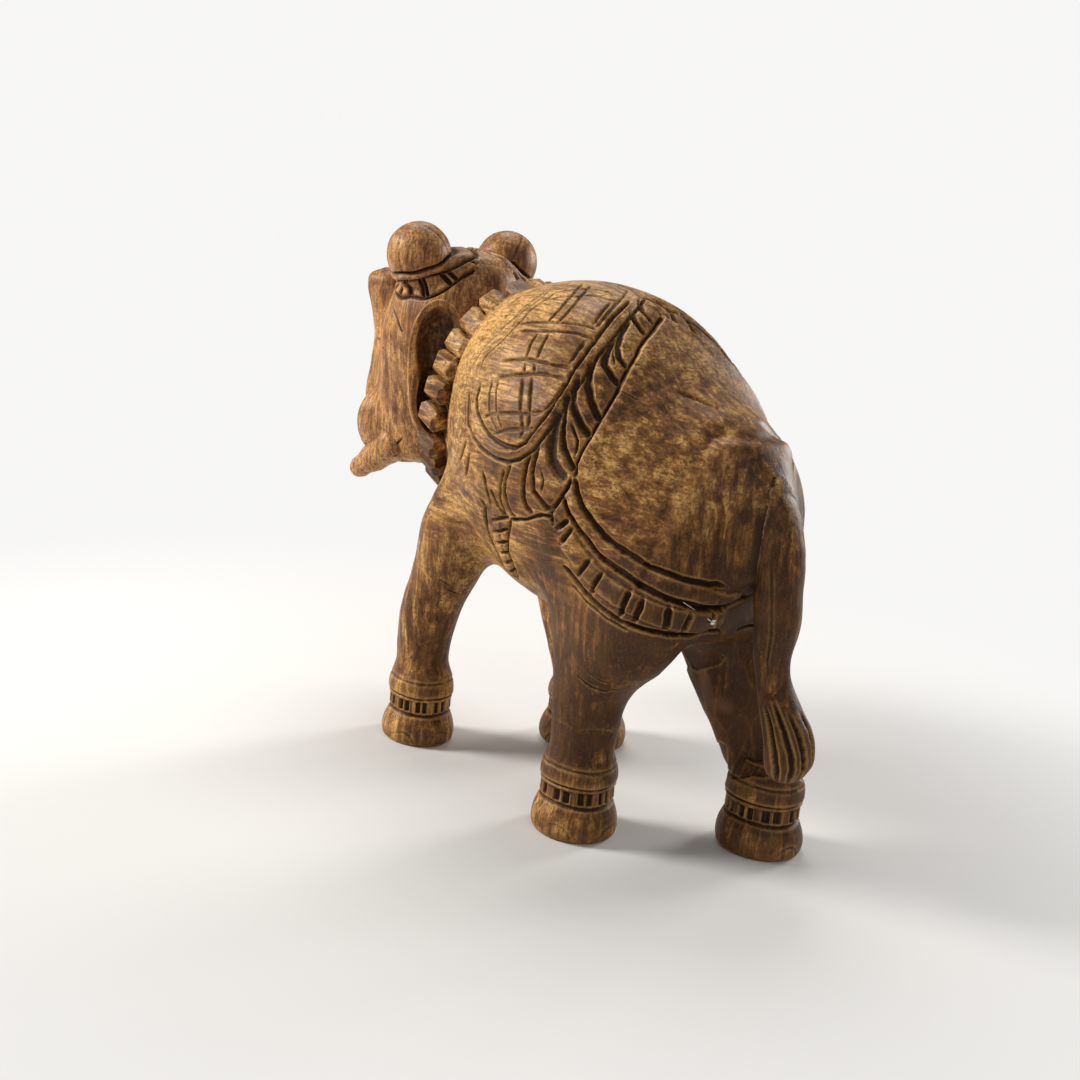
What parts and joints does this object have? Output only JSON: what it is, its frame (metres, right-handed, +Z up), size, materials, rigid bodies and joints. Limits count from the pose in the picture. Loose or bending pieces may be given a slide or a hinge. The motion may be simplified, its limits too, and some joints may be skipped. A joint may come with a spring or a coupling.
{
  "type": "carved wooden elephant figurine",
  "caption": "Standing carved wooden elephant with raised trunk, saddle cloth, necklace, strap bands and ringed feet; a free-standing figurine.",
  "frame": {"origin": "centre of the bounding box's bottom face, on the plane the four feet stand on", "axes": "+Z up; the head looks along -Y and the tail points along +Y; the animal's left side is +X"},
  "size_m": [0.1544, 0.396, 0.297],
  "materials": {
    "carved_wood": "hand-carved, antique brown wash rubbed back to ochre on the high spots, waxed",
    "carved_wood_head": "hand-carved and smoothed, reddish brown antique wash, waxed",
    "dowel_wood": "plain turned hardwood dowel, glued",
    "pin_steel": "bright nickel-plated steel"
  },
  "bodies": {
    "root": {"body_block": "carved_wood", "head_block": "carved_wood_head", "left_ear": "carved_wood_head", "right_ear": "carved_wood_head", "left_tusk": "carved_wood_head", "right_tusk": "carved_wood_head", "front_left_leg": "carved_wood", "front_right_leg": "carved_wood", "rear_left_leg": "carved_wood", "rear_right_leg": "carved_wood", "tail": "carved_wood", "neck_dowels": "dowel_wood", "front_leg_dowels": "dowel_wood", "rear_leg_dowels": "dowel_wood", "left_ear_pins": "dowel_wood", "right_ear_pins": "dowel_wood", "tail_dowel": "dowel_wood", "strap_pin": "pin_steel"}
  },
  "joints": []
}
